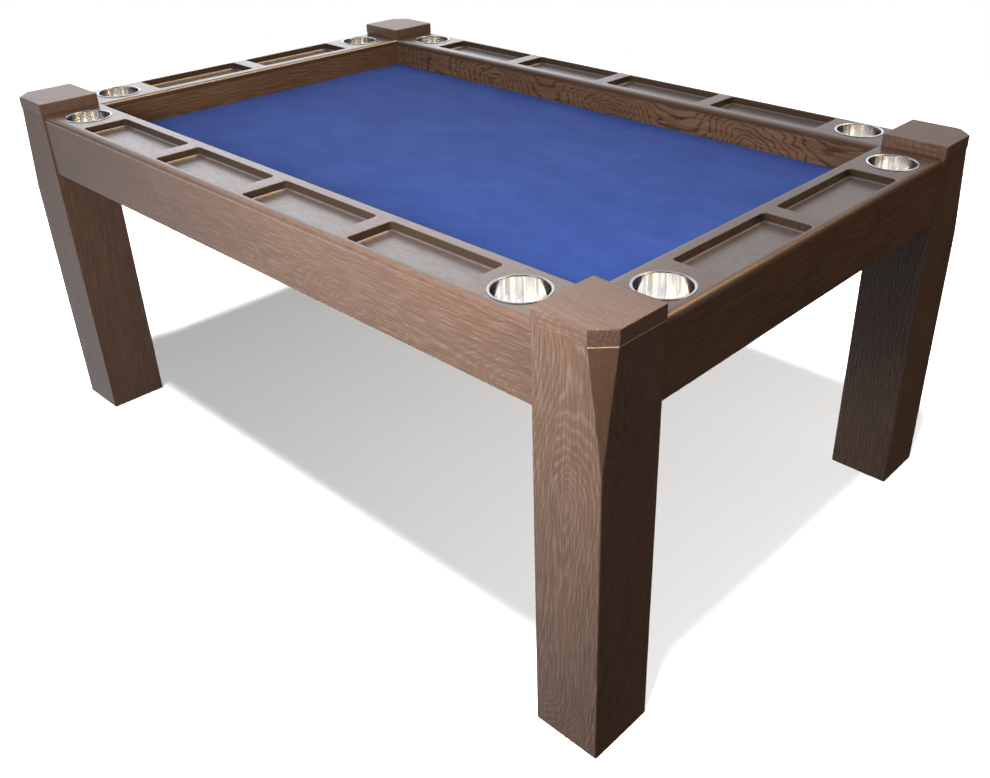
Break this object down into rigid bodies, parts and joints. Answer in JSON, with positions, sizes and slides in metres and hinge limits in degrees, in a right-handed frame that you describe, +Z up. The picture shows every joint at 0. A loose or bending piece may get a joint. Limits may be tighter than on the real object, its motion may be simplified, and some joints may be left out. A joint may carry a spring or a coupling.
{
  "type": "poker table",
  "caption": "Rectangular poker table with a sunken cloth playing surface, raised rail with chip trays and drop-in cups, and four square legs with corner caps.",
  "frame": {"origin": "centre of the footprint, on the floor", "axes": "+X along the length, -Y towards the front long side, +Z up"},
  "size_m": [1.75, 1.15, 0.787],
  "materials": {
    "stained_oak": "dark brown stained open-grain oak, satin",
    "cap_oak": "dark brown stained oak, satin, lit end",
    "rail_lacquer": "smooth grey-brown lacquer, satin",
    "plywood": "bare birch plywood",
    "poplar": "bare sawn poplar",
    "stainless_steel": "polished stainless sheet",
    "zinc_steel": "bright zinc plate",
    "brass": "turned brass",
    "speed_cloth": "blue speed cloth, matt",
    "foam": "closed-cell foam",
    "felt": "dark pressed felt"
  },
  "bodies": {
    "root": {"leg_front_left": "stained_oak", "leg_front_right": "stained_oak", "leg_back_left": "stained_oak", "leg_back_right": "stained_oak", "corner_cap_front_left": "cap_oak", "corner_cap_front_right": "cap_oak", "corner_cap_back_left": "cap_oak", "corner_cap_back_right": "cap_oak", "foot_pad_front_left": "felt", "foot_pad_front_right": "felt", "foot_pad_back_left": "felt", "foot_pad_back_right": "felt", "apron_front": "stained_oak", "apron_back": "stained_oak", "apron_right": "stained_oak", "apron_left": "stained_oak", "well_wall_front": "stained_oak", "well_wall_back": "stained_oak", "well_wall_right": "stained_oak", "well_wall_left": "stained_oak", "rail_board_front": "rail_lacquer", "rail_board_back": "rail_lacquer", "rail_board_right": "rail_lacquer", "rail_board_left": "rail_lacquer", "rail_ribs_front": "plywood", "rail_ribs_back": "plywood", "rail_ribs_right": "plywood", "rail_ribs_left": "plywood", "end_blocks_front": "poplar", "end_blocks_back": "poplar", "end_blocks_right": "poplar", "end_blocks_left": "poplar", "cleat_front": "poplar", "cleat_back": "poplar", "cleat_right": "poplar", "cleat_left": "poplar", "slat_1": "poplar", "slat_2": "poplar", "slat_3": "poplar", "slat_4": "poplar", "slat_5": "poplar", "leg_bolts": "zinc_steel", "leg_inserts": "brass", "cap_dowels": "plywood", "cleat_screws": "zinc_steel"},
    "playfield": {"playing_board": "plywood", "foam_pad": "foam", "speed_cloth": "speed_cloth"},
    "cup_front_left": {"cup_front_left": "stainless_steel"},
    "cup_front_right": {"cup_front_right": "stainless_steel"},
    "cup_right_front": {"cup_right_front": "stainless_steel"},
    "cup_right_back": {"cup_right_back": "stainless_steel"},
    "cup_back_right": {"cup_back_right": "stainless_steel"},
    "cup_back_left": {"cup_back_left": "stainless_steel"},
    "cup_left_back": {"cup_left_back": "stainless_steel"},
    "cup_left_front": {"cup_left_front": "stainless_steel"}
  },
  "joints": [
    {"name": "lift_playfield", "type": "slide", "parent": "root", "child": "playfield", "axis": [0, 0, 1], "range_m": [0, 0.1]},
    {"name": "lift_cup_front_left", "type": "slide", "parent": "root", "child": "cup_front_left", "axis": [0, 0, 1], "range_m": [0, 0.09]},
    {"name": "lift_cup_front_right", "type": "slide", "parent": "root", "child": "cup_front_right", "axis": [0, 0, 1], "range_m": [0, 0.09]},
    {"name": "lift_cup_right_front", "type": "slide", "parent": "root", "child": "cup_right_front", "axis": [0, 0, 1], "range_m": [0, 0.09]},
    {"name": "lift_cup_right_back", "type": "slide", "parent": "root", "child": "cup_right_back", "axis": [0, 0, 1], "range_m": [0, 0.09]},
    {"name": "lift_cup_back_right", "type": "slide", "parent": "root", "child": "cup_back_right", "axis": [0, 0, 1], "range_m": [0, 0.09]},
    {"name": "lift_cup_back_left", "type": "slide", "parent": "root", "child": "cup_back_left", "axis": [0, 0, 1], "range_m": [0, 0.09]},
    {"name": "lift_cup_left_back", "type": "slide", "parent": "root", "child": "cup_left_back", "axis": [0, 0, 1], "range_m": [0, 0.09]},
    {"name": "lift_cup_left_front", "type": "slide", "parent": "root", "child": "cup_left_front", "axis": [0, 0, 1], "range_m": [0, 0.09]}
  ]
}
